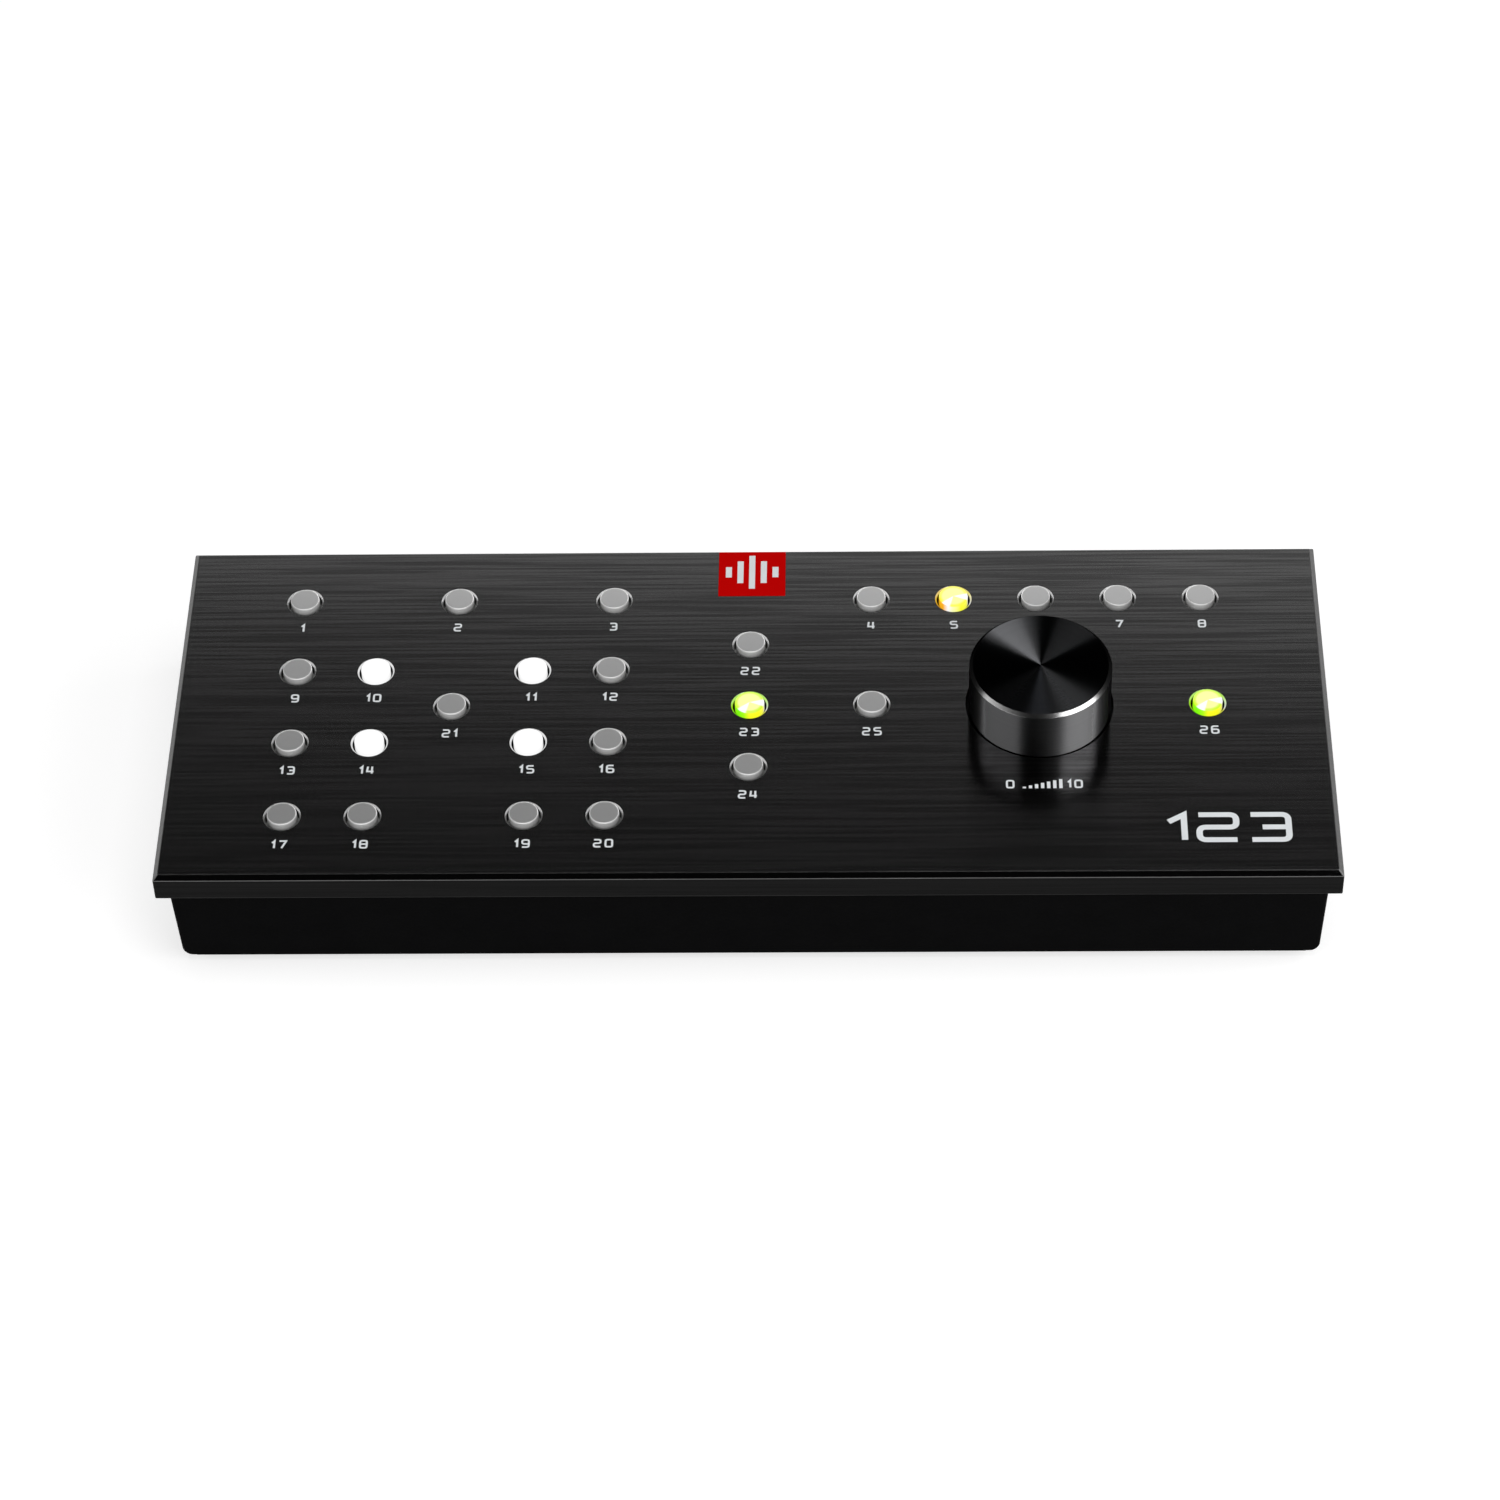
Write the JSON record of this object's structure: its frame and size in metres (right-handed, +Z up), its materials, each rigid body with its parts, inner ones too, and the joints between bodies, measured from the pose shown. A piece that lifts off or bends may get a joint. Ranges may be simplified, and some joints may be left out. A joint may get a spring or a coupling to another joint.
{
  "type": "studio monitor controller",
  "caption": "Low desktop console with round lit push buttons, a spun metal volume knob and rear data sockets, on rubber feet.",
  "frame": {"origin": "centre of the outline, on the plane that the feet rest on", "axes": "+X to the user's right along the controller, +Y towards its back, +Z up"},
  "size_m": [0.28, 0.1084, 0.0485],
  "materials": {
    "panel_anodised": "dark anodised aluminium, brushed along X, bright cut bevels round the button holes",
    "tray_powder_coat": "fine black powder coat",
    "badge_red": "plain red tile",
    "foot_rubber": "matt black rubber",
    "fastener_steel": "zinc plated",
    "spacer_aluminium": "turned",
    "screw_black": "black oxide",
    "board_laminate": "green solder mask",
    "chip_epoxy": "moulded epoxy",
    "can_metal": "drawn can",
    "switch_plastic": "moulded black",
    "contact_metal": "gold plated",
    "led_lens": "clear lens",
    "cap_unlit": "satin translucent, unlit",
    "cap_lit_white": "satin translucent, lit white",
    "cap_lit_amber": "satin translucent, lit amber",
    "cap_lit_green": "satin translucent, lit yellow-green",
    "encoder_zinc": "die cast zinc",
    "knob_anodised": "black anodised, spun top, polished edge",
    "socket_plastic": "moulded black",
    "socket_shell": "plated steel"
  },
  "bodies": {
    "housing": {"badge_tile": "badge_red", "base_screws": "screw_black", "base_tray": "tray_powder_coat", "board_capacitors": "can_metal", "board_spacers": "spacer_aluminium", "button_leds": "led_lens", "clock_crystal": "can_metal", "contact_domes": "contact_metal", "controller_chip": "chip_epoxy", "cover_studs": "fastener_steel", "encoder_body": "encoder_zinc", "encoder_bushing": "encoder_zinc", "encoder_nut": "fastener_steel", "encoder_washer": "fastener_steel", "io_board": "board_laminate", "io_screws": "fastener_steel", "io_standoffs": "fastener_steel", "led_driver_chips": "chip_epoxy", "link_pins": "socket_plastic", "link_socket": "socket_plastic", "main_board": "board_laminate", "network_contacts": "contact_metal", "network_socket": "socket_plastic", "pillars": "fastener_steel", "rubber_feet": "foot_rubber", "switch_housings": "switch_plastic", "top_cover": "panel_anodised", "usb_socket": "socket_shell", "usb_tongue": "socket_plastic"},
    "button_01": {"button_01": "cap_unlit"},
    "button_02": {"button_02": "cap_unlit"},
    "button_03": {"button_03": "cap_unlit"},
    "button_04": {"button_04": "cap_unlit"},
    "button_05": {"button_05": "cap_lit_amber"},
    "button_06": {"button_06": "cap_unlit"},
    "button_07": {"button_07": "cap_unlit"},
    "button_08": {"button_08": "cap_unlit"},
    "button_09": {"button_09": "cap_unlit"},
    "button_10": {"button_10": "cap_lit_white"},
    "button_11": {"button_11": "cap_lit_white"},
    "button_12": {"button_12": "cap_unlit"},
    "button_13": {"button_13": "cap_unlit"},
    "button_14": {"button_14": "cap_lit_white"},
    "button_15": {"button_15": "cap_lit_white"},
    "button_16": {"button_16": "cap_unlit"},
    "button_17": {"button_17": "cap_unlit"},
    "button_18": {"button_18": "cap_unlit"},
    "button_19": {"button_19": "cap_unlit"},
    "button_20": {"button_20": "cap_unlit"},
    "button_21": {"button_21": "cap_unlit"},
    "button_22": {"button_22": "cap_unlit"},
    "button_23": {"button_23": "cap_lit_green"},
    "button_24": {"button_24": "cap_unlit"},
    "button_25": {"button_25": "cap_unlit"},
    "button_26": {"button_26": "cap_lit_green"},
    "knob": {"volume_knob": "knob_anodised", "knob_set_screw": "screw_black", "encoder_shaft": "fastener_steel"}
  },
  "joints": [
    {"name": "button_01_press", "type": "slide", "parent": "housing", "child": "button_01", "axis": [0, 0, -1], "range_m": [0, 0.0005], "stiffness_N_per_m": 2000, "springref_m": -0.0004},
    {"name": "button_02_press", "type": "slide", "parent": "housing", "child": "button_02", "axis": [0, 0, -1], "range_m": [0, 0.0005], "stiffness_N_per_m": 2000, "springref_m": -0.0004},
    {"name": "button_03_press", "type": "slide", "parent": "housing", "child": "button_03", "axis": [0, 0, -1], "range_m": [0, 0.0005], "stiffness_N_per_m": 2000, "springref_m": -0.0004},
    {"name": "button_04_press", "type": "slide", "parent": "housing", "child": "button_04", "axis": [0, 0, -1], "range_m": [0, 0.0005], "stiffness_N_per_m": 2000, "springref_m": -0.0004},
    {"name": "button_05_press", "type": "slide", "parent": "housing", "child": "button_05", "axis": [0, 0, -1], "range_m": [0, 0.0005], "stiffness_N_per_m": 2000, "springref_m": -0.0004},
    {"name": "button_06_press", "type": "slide", "parent": "housing", "child": "button_06", "axis": [0, 0, -1], "range_m": [0, 0.0005], "stiffness_N_per_m": 2000, "springref_m": -0.0004},
    {"name": "button_07_press", "type": "slide", "parent": "housing", "child": "button_07", "axis": [0, 0, -1], "range_m": [0, 0.0005], "stiffness_N_per_m": 2000, "springref_m": -0.0004},
    {"name": "button_08_press", "type": "slide", "parent": "housing", "child": "button_08", "axis": [0, 0, -1], "range_m": [0, 0.0005], "stiffness_N_per_m": 2000, "springref_m": -0.0004},
    {"name": "button_09_press", "type": "slide", "parent": "housing", "child": "button_09", "axis": [0, 0, -1], "range_m": [0, 0.0005], "stiffness_N_per_m": 2000, "springref_m": -0.0004},
    {"name": "button_10_press", "type": "slide", "parent": "housing", "child": "button_10", "axis": [0, 0, -1], "range_m": [0, 0.0005], "stiffness_N_per_m": 2000, "springref_m": -0.0004},
    {"name": "button_11_press", "type": "slide", "parent": "housing", "child": "button_11", "axis": [0, 0, -1], "range_m": [0, 0.0005], "stiffness_N_per_m": 2000, "springref_m": -0.0004},
    {"name": "button_12_press", "type": "slide", "parent": "housing", "child": "button_12", "axis": [0, 0, -1], "range_m": [0, 0.0005], "stiffness_N_per_m": 2000, "springref_m": -0.0004},
    {"name": "button_13_press", "type": "slide", "parent": "housing", "child": "button_13", "axis": [0, 0, -1], "range_m": [0, 0.0005], "stiffness_N_per_m": 2000, "springref_m": -0.0004},
    {"name": "button_14_press", "type": "slide", "parent": "housing", "child": "button_14", "axis": [0, 0, -1], "range_m": [0, 0.0005], "stiffness_N_per_m": 2000, "springref_m": -0.0004},
    {"name": "button_15_press", "type": "slide", "parent": "housing", "child": "button_15", "axis": [0, 0, -1], "range_m": [0, 0.0005], "stiffness_N_per_m": 2000, "springref_m": -0.0004},
    {"name": "button_16_press", "type": "slide", "parent": "housing", "child": "button_16", "axis": [0, 0, -1], "range_m": [0, 0.0005], "stiffness_N_per_m": 2000, "springref_m": -0.0004},
    {"name": "button_17_press", "type": "slide", "parent": "housing", "child": "button_17", "axis": [0, 0, -1], "range_m": [0, 0.0005], "stiffness_N_per_m": 2000, "springref_m": -0.0004},
    {"name": "button_18_press", "type": "slide", "parent": "housing", "child": "button_18", "axis": [0, 0, -1], "range_m": [0, 0.0005], "stiffness_N_per_m": 2000, "springref_m": -0.0004},
    {"name": "button_19_press", "type": "slide", "parent": "housing", "child": "button_19", "axis": [0, 0, -1], "range_m": [0, 0.0005], "stiffness_N_per_m": 2000, "springref_m": -0.0004},
    {"name": "button_20_press", "type": "slide", "parent": "housing", "child": "button_20", "axis": [0, 0, -1], "range_m": [0, 0.0005], "stiffness_N_per_m": 2000, "springref_m": -0.0004},
    {"name": "button_21_press", "type": "slide", "parent": "housing", "child": "button_21", "axis": [0, 0, -1], "range_m": [0, 0.0005], "stiffness_N_per_m": 2000, "springref_m": -0.0004},
    {"name": "button_22_press", "type": "slide", "parent": "housing", "child": "button_22", "axis": [0, 0, -1], "range_m": [0, 0.0005], "stiffness_N_per_m": 2000, "springref_m": -0.0004},
    {"name": "button_23_press", "type": "slide", "parent": "housing", "child": "button_23", "axis": [0, 0, -1], "range_m": [0, 0.0005], "stiffness_N_per_m": 2000, "springref_m": -0.0004},
    {"name": "button_24_press", "type": "slide", "parent": "housing", "child": "button_24", "axis": [0, 0, -1], "range_m": [0, 0.0005], "stiffness_N_per_m": 2000, "springref_m": -0.0004},
    {"name": "button_25_press", "type": "slide", "parent": "housing", "child": "button_25", "axis": [0, 0, -1], "range_m": [0, 0.0005], "stiffness_N_per_m": 2000, "springref_m": -0.0004},
    {"name": "button_26_press", "type": "slide", "parent": "housing", "child": "button_26", "axis": [0, 0, -1], "range_m": [0, 0.0005], "stiffness_N_per_m": 2000, "springref_m": -0.0004},
    {"name": "knob_turn", "type": "hinge", "parent": "housing", "child": "knob", "pos_m": [0.0702, 0.0006, 0.041], "axis": [0, 0, -1], "continuous": true}
  ]
}
